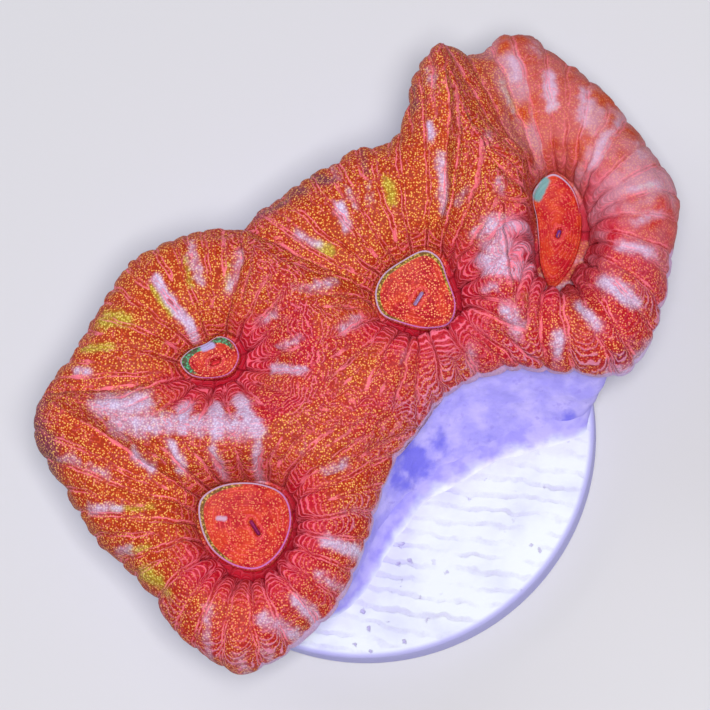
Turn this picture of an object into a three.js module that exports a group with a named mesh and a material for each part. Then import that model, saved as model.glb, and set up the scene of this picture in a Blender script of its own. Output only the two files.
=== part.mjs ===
// A colony of brain coral with four fleshy polyps, glued to a round ceramic disc.
// Millimetres, +Z up. The origin is the centre of the disc's flat underside.
import * as THREE from 'three';

// The disc that the colony stands on.
const DISC_RADIUS = 15;
const DISC_HEIGHT = 3;
const DISC_ROUNDING = 0.4;
const DISC_SIDES = 64;

// The glue pad between the disc and the cut underside of the coral.
const GLUE_HEIGHT = 0.45;
const GLUE_SPREAD = 0.9;
const GLUE_TOP_SPREAD = 0.15;
const GLUE_LIMIT = DISC_RADIUS - DISC_ROUNDING - 0.1;
const BASE_Z = DISC_HEIGHT + GLUE_HEIGHT;

// How the flesh rolls over its outer edge and curls in under it.
const ROLL_WIDTH = 2.9;
const ROLL_DROP = 3;
const CURL = [
  { inset: 0.3, below: 1.1, ribs: 0.7 },
  { inset: 1.2, below: 1.9, ribs: 0 },
];

// The bare skeleton under the flesh, from a little inside the flesh to the cut foot.
const SKELETON_INSET = 1.7;
const WALL_WAIST = 0.45;

// How the flesh falls from a crest to a mouth disc: fast near the disc, then flatter.
const STEEPNESS_LONG = 1.3;
const STEEPNESS_SHORT = 6.5;
const CREST_BLEND = 3;

// The ribs: soft folds that run from every mouth over the crests.
const SAMPLES_PER_RIB = 3;
const RIB_SWELL = 0.2;
const RIB_SWELL_LIMIT = 0.5;
const FOLD_ROUNDNESS = 2.2;
const RIB_SPREAD_AT_DISC = 0.4;
const ROWS = 5;
const ROW_TRIALS = 24;

// Where the arcs meet, as [x, y, height of the crest].
const AC_OUTSIDE = [-7, 11.9, 12.6];
const AB_OUTSIDE = [-20, 1.2, 12.6];
const BC_OUTSIDE = [4.2, -1.2, 12.6];
const CD_LOWER = [12.3, 2.3, 12.9];
const CD_UPPER = [6.1, 23.7, 13.2];
const TRIPLE = [-2.4, -0.4, 13.8];

// The outer edge of the colony, counter-clockwise, with the number of ribs that cross it,
// and the line on the cut foot that lies under the same stretch of edge.
const EDGES = {
  a: {
    ribs: 15,
    points: [
      AC_OUTSIDE, [-8.9, 11.8, 12.9], [-11, 11.4, 13], [-12.9, 10.7, 13], [-14.6, 9.3, 13],
      [-16.3, 7, 13], [-17.3, 4.9, 13], [-18.9, 2.8, 12.8], AB_OUTSIDE,
    ],
    foot: [[-4.5, 12.8], [-9.4, 9.6], [-12.8, 3.6]],
  },
  b: {
    ribs: 21,
    points: [
      AB_OUTSIDE, [-20.6, -0.7, 12.5], [-20.3, -2, 12.5], [-18.9, -4, 12.7], [-17.7, -6, 12.9],
      [-16.2, -8.1, 13], [-14.1, -10.2, 13], [-12.2, -12.1, 13], [-11, -14.2, 12.8], [-9.1, -15.6, 12.6],
      [-7, -16.6, 12.5], [-4.8, -15.8, 12.6], [-2.8, -14.2, 12.8], [-1.1, -12.7, 13], [0.7, -8.8, 13.1],
      [1.8, -5.4, 13], [2.8, -3.1, 12.8], BC_OUTSIDE,
    ],
    foot: [
      [-12.8, 3.6], [-13.6, -1.5], [-12.2, -6.5], [-8.6, -10.6], [-4.6, -12.2], [-1.3, -11.3],
      [0.7, -8], [2, -6.1], [3.6, -4.3],
    ],
  },
  cLower: {
    ribs: 7,
    points: [BC_OUTSIDE, [6, 0.8, 12.9], [8, 1.8, 13.1], [10.4, 2.3, 13.1], CD_LOWER],
    foot: [[3.6, -4.3], [6.3, -2.9], [8.9, -1.5], [11.6, -0.9]],
  },
  d: {
    ribs: 20,
    points: [
      CD_LOWER, [14, 2.2, 12.9], [15.8, 1.9, 12.6], [17.5, 2.2, 12.4], [18.7, 3.9, 12.2],
      [19.7, 6.6, 11.9], [20.5, 10.2, 11.5], [20.9, 13.2, 11.1], [20, 15.7, 10.8], [17.8, 18.8, 10.6],
      [16.2, 21.1, 10.5], [13.5, 23.3, 10.4], [11.4, 25, 10.5], [9.6, 25.1, 10.8], [8.3, 23.5, 11.5],
      [7.2, 23.4, 12.4], CD_UPPER,
    ],
    foot: [[11.6, -0.9], [14, -0.2], [14.1, 3.2], [12.4, 7.6], [7.6, 12.1]],
  },
  cUpper: {
    ribs: 17,
    points: [
      CD_UPPER, [5, 23.1, 13.1], [4, 21.2, 13], [3.4, 18.8, 13], [2.3, 17.3, 13], [0.7, 17, 13],
      [-0.7, 16.3, 13], [-3.2, 14.8, 13], [-5.8, 13.1, 12.8], AC_OUTSIDE,
    ],
    foot: [[7.6, 12.1], [1.5, 13.9], [-4.5, 12.8]],
  },
};
const EDGE_ORDER = ['a', 'b', 'cLower', 'd', 'cUpper'];

// The crests where two polyps share a wall.
const SEAMS = {
  ab: {
    ribs: 8,
    points: [
      AB_OUTSIDE, [-17.4, 0.2, 13.5], [-15.2, -0.7, 13.8], [-13, -1.6, 13.9], [-10.4, -2.2, 14],
      [-7.6, -2.4, 14], [-5.2, -2, 13.9], TRIPLE,
    ],
  },
  ac: {
    ribs: 7,
    points: [TRIPLE, [-1.7, 2.2, 13.9], [-2, 4.9, 13.9], [-3.4, 7.2, 13.8], [-5.3, 9.3, 13.6], AC_OUTSIDE],
  },
  bc: {
    ribs: 5,
    points: [BC_OUTSIDE, [2.3, -1, 13.4], [0.6, -1, 13.6], [-1, -0.9, 13.7], TRIPLE],
  },
  cd: {
    ribs: 11,
    points: [
      CD_UPPER, [7, 19.8, 14.4], [8.4, 16.8, 14.7], [9.4, 14.7, 14.7], [9.9, 12.1, 14.7], [10.1, 9.3, 14.6],
      [10.5, 6.3, 14.2], [11.2, 4.1, 13.5], CD_LOWER,
    ],
  },
};

// The four polyps: the smooth disc round each mouth, and the arcs round its wall,
// counter-clockwise. An arc with a minus sign is run backwards.
const POLYPS = [
  {
    floor: 10.7,
    dish: 0.35,
    arcs: ['a', 'ab', 'ac'],
    rim: [
      [-11, 3.1], [-10.4, 2.2], [-9.2, 1.9], [-7.7, 2.2], [-7.1, 3.3], [-7.5, 4.3], [-8.4, 4.7], [-9.4, 4.2],
      [-10.4, 3.8],
    ],
  },
  {
    floor: 10.3,
    dish: 0.5,
    arcs: ['b', 'bc', '-ab'],
    rim: [
      [-9.7, -5.8], [-9.7, -7.4], [-8.9, -9.1], [-7.4, -10.2], [-5.8, -10.4], [-4.4, -9.3], [-3.7, -7.3],
      [-4.2, -5.6], [-5.9, -4.8], [-8.4, -4.9],
    ],
  },
  {
    floor: 10.7,
    dish: 0.35,
    arcs: ['cLower', '-cd', 'cUpper', '-ac', '-bc'],
    rim: [
      [1.5, 7.2], [1.9, 5.8], [3.3, 5.1], [5, 4.7], [6.4, 5], [6.8, 6.2], [6.3, 8], [5.7, 9.5], [4.8, 10],
      [3.2, 9.3], [2, 8.4],
    ],
  },
  {
    floor: 7.4,
    dish: 0.4,
    arcs: ['d', 'cd'],
    rim: [
      [11.9, 13.6], [11.8, 11.2], [12, 9.2], [12.6, 8], [13.8, 9.2], [14.5, 11], [14.6, 13], [14, 14.9],
      [13, 15.6],
    ],
  },
];

const MATERIALS = {
  coral: { color: 0xd8402c, roughness: 0.45, metalness: 0 },
  glue: { color: 0xc9c4ee, roughness: 0.5, metalness: 0 },
  disc: { color: 0xeeeefa, roughness: 0.8, metalness: 0 },
};

// A smooth curve through [x, y] or [x, y, z] points, cut into equal steps.
function stepsAlong(points, steps, closed = false) {
  const knots = points.map(([x, y, z = 0]) => new THREE.Vector3(x, y, z));
  const curve = new THREE.CatmullRomCurve3(knots, closed);
  curve.arcLengthDivisions = 30 * knots.length;
  return curve.getSpacedPoints(steps);
}

// Distance in plan from a point to a line of points.
function distanceTo(line, point) {
  const step = new THREE.Vector2();
  const gap = new THREE.Vector2();
  let least = Infinity;
  for (let i = 0; i + 1 < line.length; i += 1) {
    step.set(line[i + 1].x - line[i].x, line[i + 1].y - line[i].y);
    gap.set(point.x - line[i].x, point.y - line[i].y);
    const along = THREE.MathUtils.clamp(gap.dot(step) / step.lengthSq(), 0, 1);
    least = Math.min(least, gap.addScaledVector(step, -along).length());
  }
  return least;
}

// How far the rib at a step of a column stands out, from the rib's width square to the column.
function ribLift(column, neighbour, row, step) {
  const along = column[Math.min(row + 1, ROWS)].clone().sub(column[Math.max(row - 1, 0)]).normalize();
  const width = neighbour[row].clone().sub(column[row]).cross(along).length() * SAMPLES_PER_RIB;
  const across = (step % SAMPLES_PER_RIB) / SAMPLES_PER_RIB;
  const fold = 1 - Math.abs(2 * across - 1) ** FOLD_ROUNDNESS;
  return Math.min(RIB_SWELL * width, RIB_SWELL_LIMIT) * fold;
}

// A growing closed skin: points, how much each is lifted along its normal, and triangles.
class Skin {
  points = [];
  lifts = [];
  triangles = [];

  add(point, lift = 0) {
    this.points.push(point);
    this.lifts.push(lift);
    return this.points.length - 1;
  }

  // Two loops of points joined by a band; the second loop lies to the left of the first.
  band(first, second) {
    first.forEach((a, i) => {
      const next = (i + 1) % first.length;
      this.triangles.push(a, first[next], second[i]);
      this.triangles.push(first[next], second[next], second[i]);
    });
  }

  fan(loop, centre) {
    loop.forEach((a, i) => this.triangles.push(a, loop[(i + 1) % loop.length], centre));
  }

  geometry() {
    const made = new THREE.BufferGeometry();
    const flat = this.points.flatMap((p) => [p.x, p.y, p.z]);
    made.setAttribute('position', new THREE.Float32BufferAttribute(flat, 3));
    made.setIndex(this.triangles);
    made.computeVertexNormals();
    const { position, normal } = made.attributes;
    const point = new THREE.Vector3();
    const out = new THREE.Vector3();
    for (let i = 0; i < position.count; i += 1) {
      point.fromBufferAttribute(position, i);
      out.fromBufferAttribute(normal, i);
      point.addScaledVector(out, this.lifts[i]);
      position.setXYZ(i, point.x, point.y, point.z);
    }
    made.computeVertexNormals();
    return made;
  }
}

// All edge and seam arcs cut into the steps that the ribs need.
function sampleArcs() {
  const arcs = {};
  for (const [name, arc] of Object.entries({ ...EDGES, ...SEAMS })) {
    arcs[name] = stepsAlong(arc.points, arc.ribs * SAMPLES_PER_RIB);
  }
  return arcs;
}

const arcs = sampleArcs();
const outerEdge = EDGE_ORDER.flatMap((name) => arcs[name].slice(0, -1));
const outerLine = [...outerEdge, outerEdge[0]];

// How far the flesh has rolled down, for a distance from the outer edge.
function rollDrop(toEdge) {
  const past = THREE.MathUtils.clamp(1 - toEdge / ROLL_WIDTH, 0, 1);
  return ROLL_DROP * (1 - Math.sqrt(1 - past * past));
}

// The height of the flesh at a plan point, given its own crest, mouth disc and seams.
function fleshHeight(point, crest, polyp, rimLine, seamLines) {
  const toRim = distanceTo(rimLine, point);
  const toEdge = distanceTo(outerLine, point);
  const toSeam = Math.min(...seamLines.map((line) => distanceTo(line, point)));
  const toRoll = Math.max(toEdge - ROLL_WIDTH, 0);
  const toCrest = (toSeam ** -CREST_BLEND + toRoll ** -CREST_BLEND) ** (-1 / CREST_BLEND);
  const across = toRim + toCrest;
  const steepness = STEEPNESS_LONG + STEEPNESS_SHORT / Math.max(across, 1.5);
  const climbed = 1 - (toCrest / Math.max(across, 1e-6)) ** steepness;
  return polyp.floor + (crest - polyp.floor) * climbed - rollDrop(toEdge);
}

// The line of the polyp's wall, and the index in the skin of each of its points.
function wallLoop(polyp, ids) {
  return polyp.arcs.flatMap((name) => {
    const back = name.startsWith('-');
    const key = back ? name.slice(1) : name;
    const steps = arcs[key].map((point, i) => ({ point, id: ids[key][i] }));
    if (back) steps.reverse();
    return steps.slice(0, -1);
  });
}

// Angles that only grow, for a loop seen from its centre.
function growingAngles(loop, centre) {
  const angles = loop.map(({ point }) => Math.atan2(point.y - centre.y, point.x - centre.x));
  for (let i = 1; i < angles.length; i += 1) {
    while (angles[i] < angles[i - 1] - Math.PI) angles[i] += 2 * Math.PI;
  }
  return angles;
}

// Distance from the centre to a closed line in a given direction.
function reach(line, centre, angle) {
  const ray = new THREE.Vector2(Math.cos(angle), Math.sin(angle));
  for (let i = 0; i + 1 < line.length; i += 1) {
    const a = new THREE.Vector2(line[i].x - centre.x, line[i].y - centre.y);
    const b = new THREE.Vector2(line[i + 1].x - centre.x, line[i + 1].y - centre.y);
    const sideA = ray.cross(a);
    const sideB = ray.cross(b);
    if (sideA <= 0 && sideB > 0) {
      const hit = a.lerp(b, sideA / (sideA - sideB));
      if (hit.dot(ray) > 0) return hit.length();
    }
  }
  throw new Error('the line does not go round its centre');
}

// The flesh of one polyp, from the crests down to the disc round its mouth.
function addPolyp(skin, polyp, ids) {
  const rimLine = stepsAlong(polyp.rim, 48, true);
  const centre = new THREE.Vector3();
  rimLine.slice(1).forEach((point) => centre.addScaledVector(point, 1 / (rimLine.length - 1)));
  const seamLines = polyp.arcs.map((name) => name.replace('-', '')).filter((name) => name in SEAMS)
    .map((name) => arcs[name]);
  const loop = wallLoop(polyp, ids);
  const angles = growingAngles(loop, centre);
  const turn = 2 * Math.PI / loop.length;
  const start = angles.reduce((sum, angle, i) => sum + angle - i * turn, 0) / loop.length;
  const columns = loop.map(({ point }, i) => {
    const wallRadius = Math.hypot(point.x - centre.x, point.y - centre.y);
    const rimAngle = THREE.MathUtils.lerp(angles[i], start + i * turn, RIB_SPREAD_AT_DISC);
    const trials = [];
    for (let k = 0; k <= ROW_TRIALS; k += 1) {
      const inward = k / ROW_TRIALS;
      const angle = THREE.MathUtils.lerp(angles[i], rimAngle, inward);
      const radius = THREE.MathUtils.lerp(wallRadius, reach(rimLine, centre, angle), inward);
      const place = new THREE.Vector3(centre.x + radius * Math.cos(angle), centre.y + radius * Math.sin(angle), 0);
      place.z = fleshHeight(place, point.z, polyp, rimLine, seamLines);
      trials.push(place);
    }
    const curve = new THREE.CurvePath();
    trials.slice(1).forEach((place, k) => curve.add(new THREE.LineCurve3(trials[k], place)));
    return Array.from({ length: ROWS + 1 }, (_, row) => curve.getPointAt(row / ROWS));
  });
  const liftAt = (row, i) => ribLift(columns[i], columns[(i + 1) % columns.length], row, i);
  let previous = loop.map(({ id }, i) => {
    skin.lifts[id] = Math.min(skin.lifts[id], liftAt(0, i));
    return id;
  });
  for (let row = 1; row <= ROWS; row += 1) {
    const ring = columns.map((column, i) => skin.add(column[row], row === ROWS ? 0 : liftAt(row, i)));
    skin.band(previous, ring);
    previous = ring;
  }
  const bottom = centre.clone();
  bottom.z = polyp.floor - 2 * polyp.dish;
  const dish = columns.map((column) => {
    const place = column[ROWS].clone().lerp(centre, 0.45);
    place.z = polyp.floor - polyp.dish;
    return skin.add(place);
  });
  skin.band(previous, dish);
  skin.fan(dish, skin.add(bottom));
}

// The line of the cut foot, matched step by step to the outer edge.
function footLine(stepsPerRib) {
  return EDGE_ORDER.flatMap((name) => {
    const { foot, ribs } = EDGES[name];
    return stepsAlong(foot, ribs * stepsPerRib).slice(0, -1);
  });
}

// The level direction that points out of a counter-clockwise loop at each of its points.
function outwardAlong(loop) {
  return loop.map((_, i) => {
    const before = loop[(i + loop.length - 1) % loop.length];
    const after = loop[(i + 1) % loop.length];
    return new THREE.Vector3(after.y - before.y, before.x - after.x, 0).normalize();
  });
}

// Flesh and skeleton of the whole colony as one solid.
function coralGeometry() {
  const skin = new Skin();
  const ids = {};
  for (const [name, line] of Object.entries(arcs)) {
    ids[name] = line.map((point) => {
      const known = skin.points.findIndex((p) => Math.hypot(p.x - point.x, p.y - point.y) < 1e-6);
      if (known >= 0) return known;
      const place = new THREE.Vector3(point.x, point.y, point.z - rollDrop(distanceTo(outerLine, point)));
      return skin.add(place, RIB_SWELL_LIMIT);
    });
  }
  POLYPS.forEach((polyp) => addPolyp(skin, polyp, ids));

  const edgeIds = EDGE_ORDER.flatMap((name) => ids[name].slice(0, -1));
  const outward = outwardAlong(outerEdge);
  let previous = edgeIds;
  for (const { inset, below, ribs } of CURL) {
    const ring = outerEdge.map((point, i) => {
      const place = point.clone().addScaledVector(outward[i], -inset);
      place.z -= ROLL_DROP + below;
      return skin.add(place, ribs * skin.lifts[edgeIds[i]]);
    });
    skin.band(ring, previous);
    previous = ring;
  }
  const foot = footLine(SAMPLES_PER_RIB);
  const lowest = CURL[CURL.length - 1].below + ROLL_DROP;
  const waist = outerEdge.map((point, i) => {
    const top = point.clone().addScaledVector(outward[i], -SKELETON_INSET);
    top.z -= lowest + 0.2;
    const place = top.clone().lerp(foot[i], WALL_WAIST);
    place.z = THREE.MathUtils.lerp(top.z, BASE_Z, 0.6);
    return [skin.add(top), skin.add(place)];
  });
  const ledge = waist.map(([top]) => top);
  const middle = waist.map(([, place]) => place);
  const base = foot.map((point) => skin.add(new THREE.Vector3(point.x, point.y, BASE_Z)));
  skin.band(ledge, previous);
  skin.band(middle, ledge);
  skin.band(base, middle);
  skin.fan([...base].reverse(), skin.add(new THREE.Vector3(0, 2, BASE_Z)));
  return skin.geometry();
}

// The glue pad: the foot's outline spread a little, with a sloping side.
function glueGeometry() {
  const foot = footLine(1);
  const outward = outwardAlong(foot);
  const skin = new Skin();
  const ringAt = (spread, z) => foot.map((point, i) => {
    const place = point.clone().addScaledVector(outward[i], spread);
    place.clampLength(0, GLUE_LIMIT);
    place.z = z;
    return skin.add(place);
  });
  const lower = ringAt(GLUE_SPREAD, DISC_HEIGHT);
  const upper = ringAt(GLUE_TOP_SPREAD, BASE_Z);
  skin.band(lower, upper);
  skin.fan(upper, skin.add(new THREE.Vector3(0, 2, BASE_Z)));
  skin.fan([...lower].reverse(), skin.add(new THREE.Vector3(0, 2, DISC_HEIGHT)));
  return skin.geometry();
}

// The ceramic disc, a flat cylinder with rounded edges.
function discGeometry() {
  const straight = DISC_RADIUS - DISC_ROUNDING;
  const corner = DISC_ROUNDING * Math.SQRT1_2;
  const profile = [
    [0, 0],
    [straight, 0],
    [straight + corner, DISC_ROUNDING - corner],
    [DISC_RADIUS, DISC_ROUNDING],
    [DISC_RADIUS, DISC_HEIGHT - DISC_ROUNDING],
    [straight + corner, DISC_HEIGHT - DISC_ROUNDING + corner],
    [straight, DISC_HEIGHT],
    [0, DISC_HEIGHT],
  ].map(([radius, height]) => new THREE.Vector2(radius, height));
  return new THREE.LatheGeometry(profile, DISC_SIDES).rotateX(Math.PI / 2);
}

function piece(name, geometry) {
  const mesh = new THREE.Mesh(geometry, new THREE.MeshStandardMaterial(MATERIALS[name]));
  mesh.name = name;
  return mesh;
}

const colony = new THREE.Group();
colony.add(piece('disc', discGeometry()));
colony.add(piece('glue', glueGeometry()));
colony.add(piece('coral', coralGeometry()));

export default colony;
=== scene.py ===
"""A colony of fleshy brain coral with four polyps, glued to a round ceramic disc."""

import math

import bpy
import numpy as np
from mathutils import Matrix, Vector, noise


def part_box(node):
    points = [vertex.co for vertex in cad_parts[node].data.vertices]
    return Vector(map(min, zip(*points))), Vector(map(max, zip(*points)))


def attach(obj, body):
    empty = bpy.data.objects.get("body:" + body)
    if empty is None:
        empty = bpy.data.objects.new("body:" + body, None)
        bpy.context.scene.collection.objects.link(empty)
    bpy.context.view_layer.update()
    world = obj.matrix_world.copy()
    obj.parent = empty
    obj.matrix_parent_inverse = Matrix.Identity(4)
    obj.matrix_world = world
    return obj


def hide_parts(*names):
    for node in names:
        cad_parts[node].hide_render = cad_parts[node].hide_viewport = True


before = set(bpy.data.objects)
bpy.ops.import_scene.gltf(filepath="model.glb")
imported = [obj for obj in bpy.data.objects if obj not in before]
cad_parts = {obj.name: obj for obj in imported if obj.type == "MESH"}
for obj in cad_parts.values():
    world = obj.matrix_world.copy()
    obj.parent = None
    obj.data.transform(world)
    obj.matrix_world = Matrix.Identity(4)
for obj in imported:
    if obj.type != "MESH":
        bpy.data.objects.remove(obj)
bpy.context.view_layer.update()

# Ceramic disc: a round of white fired clay, sawn from an extruded bar, which leaves faint parallel
# stripes across its faces and a soft broken edge. The coral is glued on top of it.
MM = 0.001
disc_low, disc_high = (np.array(corner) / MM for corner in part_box("disc"))
DISC_RADIUS = (disc_high[0] - disc_low[0]) / 2
DISC_TOP = disc_high[2]
DISC_ROUNDING = 0.4
DISC_AROUND = 288
DISC_FLAT_RINGS = 24
DISC_UNDER_RINGS = (4.0, 9.0, 13.0)
STRIPE_PITCH = 1.05
STRIPE_SLOPE = math.radians(-9)


def mesh_piece(name, points, faces, node):
    """A Blender object from points in millimetres, riding on the one body in place of a CAD node."""
    mesh = bpy.data.meshes.new(name)
    mesh.from_pydata(np.asarray(points) * MM, [], faces)
    mesh.update()
    mesh.validate()
    mesh.polygons.foreach_set("use_smooth", [True] * len(mesh.polygons))
    piece = bpy.data.objects.new(name, mesh)
    bpy.context.scene.collection.objects.link(piece)
    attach(piece, "root")
    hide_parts(node)
    return piece


def ring_band(first, second):
    """Quads between two closed rings of point numbers; the second lies to the left of the first."""
    return [
        (a, b, d, c)
        for a, b, c, d in zip(first, np.roll(first, -1), second, np.roll(second, -1))
    ]


def ring_fan(ring, centre):
    """Triangles from a closed ring of point numbers to one point."""
    return [(a, b, centre) for a, b in zip(ring, np.roll(ring, -1))]


def stack_piece(name, rings, middles, node):
    """A closed piece from a stack of rings of points, and a middle point for its first and last."""
    points = np.vstack([*rings, middles])
    ids = np.arange(len(points) - 2).reshape(len(rings), -1)
    faces = [face for first, second in zip(ids, ids[1:]) for face in ring_band(first, second)]
    faces += ring_fan(ids[0][::-1], len(points) - 2) + ring_fan(ids[-1], len(points) - 1)
    return mesh_piece(name, points, faces, node), points


def drift(points, size, seed=0.0):
    """Smooth noise, about -1 to 1, at points in millimetres, for waves of a given size."""
    shift = Vector((seed, -seed, 2.0 * seed))
    return np.array([noise.noise(Vector(p) / size + shift) for p in np.asarray(points, float)])


def revolve(profile, around):
    """Rings of points from a profile of (radius, height), without its two ends on the axis."""
    angles = np.linspace(0, 2 * math.pi, around, endpoint=False)
    return np.array([
        [(radius * math.cos(a), radius * math.sin(a), height) for a in angles]
        for radius, height in profile
    ])


def disc_profile():
    """The disc's outline as (radius, height), from under its middle round the side to its top."""
    straight = DISC_RADIUS - DISC_ROUNDING
    corner = [math.radians(a) for a in range(0, 91, 15)]
    lower = [
        (straight + DISC_ROUNDING * math.sin(a), DISC_ROUNDING * (1 - math.cos(a))) for a in corner
    ]
    upper = [(radius, DISC_TOP - height) for radius, height in reversed(lower)]
    flat = [straight * step / DISC_FLAT_RINGS for step in range(DISC_FLAT_RINGS - 1, 0, -1)]
    return (
        [(radius, 0.0) for radius in DISC_UNDER_RINGS] + lower + upper
        + [(radius, DISC_TOP) for radius in flat]
    )


disc_rings = revolve(disc_profile(), DISC_AROUND)
disc_middles = [(0, 0, 0), (0, 0, DISC_TOP)]
disc, disc_points = stack_piece("ceramic_disc", disc_rings, disc_middles, "disc")


class Wire:
    """A value that varies over a surface. Python's operators on it add Math nodes."""

    def __init__(self, socket):
        self.socket = socket
        self.tree = socket.id_data

    def node(self, kind, settings=None, sockets=None, output=0):
        return add_node(self.tree, kind, settings, sockets, output)

    def math(self, operation, *values):
        sockets = dict(enumerate(values))
        return self.node("ShaderNodeMath", {"operation": operation}, sockets)

    def __add__(self, other):
        return self.math("ADD", self, other)

    def __sub__(self, other):
        return self.math("SUBTRACT", self, other)

    def __rsub__(self, other):
        return self.math("SUBTRACT", other, self)

    def __mul__(self, other):
        return self.math("MULTIPLY", self, other)

    __radd__ = __add__
    __rmul__ = __mul__

    def ramp(self, low, high, start=0.0, end=1.0):
        """Goes smoothly from start to end as the value goes from low to high."""
        return self.node(
            "ShaderNodeMapRange",
            {"interpolation_type": "SMOOTHSTEP"},
            {"Value": self, "From Min": low, "From Max": high, "To Min": start, "To Max": end},
        )

    def blend(self, first, second):
        """The first colour where the value is 0 and the second where it is 1."""
        sockets = {0: self, 6: first, 7: second}
        return self.node("ShaderNodeMix", {"data_type": "RGBA", "clamp_factor": True}, sockets, output=2)

    def size(self):
        return self.math("ABSOLUTE", self)

    def sine(self):
        return self.math("SINE", self)

    def scaled(self, factor):
        """A place or a colour, each of its three parts times its own number."""
        return self.node("ShaderNodeVectorMath", {"operation": "MULTIPLY"}, {0: self, 1: factor})


def add_node(tree, kind, settings=None, sockets=None, output=0):
    """A node with its settings made first, then the values or links of its sockets."""
    made = tree.nodes.new(kind)
    for key, value in (settings or {}).items():
        setattr(made, key, value)
    for key, value in (sockets or {}).items():
        target = made.inputs[key]
        if isinstance(value, Wire):
            tree.links.new(value.socket, target)
        elif target.type == "RGBA":
            target.default_value = (*value, 1.0)
        else:
            target.default_value = value
    return Wire(made.outputs[output])


def layered(colour, layers):
    """A first colour with layers of (mask, colour) over it, one by one."""
    for mask, over in layers:
        colour = mask.blend(colour, over)
    return colour


class Finish:
    """A new procedural material on a piece, with its place in millimetres at hand."""

    def __init__(self, piece, name, **constants):
        self.material = bpy.data.materials.new(name)
        self.material.use_nodes = True
        self.tree = self.material.node_tree
        self.shader = self.tree.nodes["Principled BSDF"]
        for key, value in constants.items():
            self.shader.inputs[key.replace("_", " ")].default_value = value
        place = add_node(self.tree, "ShaderNodeTexCoord", output=3)
        self.place = place.scaled((1 / MM,) * 3)
        piece.data.materials.append(self.material)

    def attribute(self, name):
        return add_node(self.tree, "ShaderNodeAttribute", {"attribute_name": name}, output=2)

    def clouds(self, size, detail=3.0, roughness=0.5):
        """Noise from 0 to 1 with lumps of the given size in millimetres."""
        sockets = {"Vector": self.place, "Scale": 1 / size, "Detail": detail, "Roughness": roughness}
        return add_node(self.tree, "ShaderNodeTexNoise", None, sockets)

    def cells(self, size, randomness=1.0):
        """Distance to the nearest grain, for grains of the given size in millimetres."""
        sockets = {"Vector": self.place, "Scale": 1 / size, "Randomness": randomness}
        return add_node(self.tree, "ShaderNodeTexVoronoi", None, sockets)

    def feed(self, socket_name, wire):
        self.tree.links.new(wire.socket, self.shader.inputs[socket_name])

    def paint(self, colour, layers):
        """Sets the base colour."""
        self.feed("Base Color", layered(colour, layers))

    def bump(self, height, depth):
        """Relief of the given depth in millimetres where the height goes from 0 to 1."""
        sockets = {"Height": height, "Strength": 1.0, "Distance": depth * MM}
        self.feed("Normal", add_node(self.tree, "ShaderNodeBump", None, sockets))


def store(piece, name, values):
    """Keeps a number for every point of a mesh, for the material to read."""
    layer = piece.data.attributes.new(name, "FLOAT", "POINT")
    layer.data.foreach_set("value", np.asarray(values, dtype=np.float32))


def smooth_step(values, low, high):
    """Goes smoothly from 0 to 1 as the values go from low to high."""
    part = np.clip((values - low) / (high - low), 0, 1)
    return part * part * (3 - 2 * part)


store(disc, "edge", smooth_step(np.hypot(*disc_points[:, :2].T), DISC_RADIUS - 0.45, DISC_RADIUS - 0.1))
clay = Finish(disc, "white_fired_clay", Roughness=0.62, Specular_IOR_Level=0.35)
across_stripes = clay.place.node(
    "ShaderNodeVectorMath",
    {"operation": "DOT_PRODUCT"},
    {0: clay.place, 1: (-math.sin(STRIPE_SLOPE), math.cos(STRIPE_SLOPE), 0.0)},
    output=1,
)
across_stripes = across_stripes + (clay.clouds(5.0) - 0.5) * 2.2 + (clay.clouds(0.9) - 0.5) * 0.6
# Along the sawn stripes the clay is painted darker violet: painted shade in their grooves.
stripe = (across_stripes * (2 * math.pi / STRIPE_PITCH)).sine().ramp(0.25, 1.0)
stripe = stripe * clay.clouds(3.2, 5.0, roughness=0.65).ramp(0.38, 0.66) * (1 - clay.attribute("edge"))
clay_stain = clay.clouds(3.5, 4.0).ramp(0.45, 0.75)
clay_pits = (clay.cells(1.2) + (clay.clouds(0.35, 4.0) - 0.5) * 0.7).ramp(0.02, 0.16, 1.0, 0.0)
clay_pits = clay_pits * clay.clouds(4.0).ramp(0.46, 0.6)
# Painted shade: the clay is tinted violet round the coral's foot.
painted_foot_shade = (clay.attribute("near_glue") + (clay.clouds(1.5, 4.0) - 0.5) * 1.3).ramp(0.4, 0.95)
clay.paint(clay_stain.blend((0.78, 0.84, 0.88), (0.66, 0.7, 0.84)), [
    (stripe * 0.55, (0.48, 0.46, 0.74)),
    (clay_pits * 0.7, (0.36, 0.28, 0.66)),
    (painted_foot_shade * 0.25, (0.5, 0.45, 0.88)),
    # Painted shade: the rounded rim of the disc is painted darker violet.
    (clay.attribute("edge") * 0.7, (0.38, 0.34, 0.86)),
])
clay.bump(clay.clouds(0.35, 4.0) * 0.4 - clay_pits - stripe * 0.8, 0.06)

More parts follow.
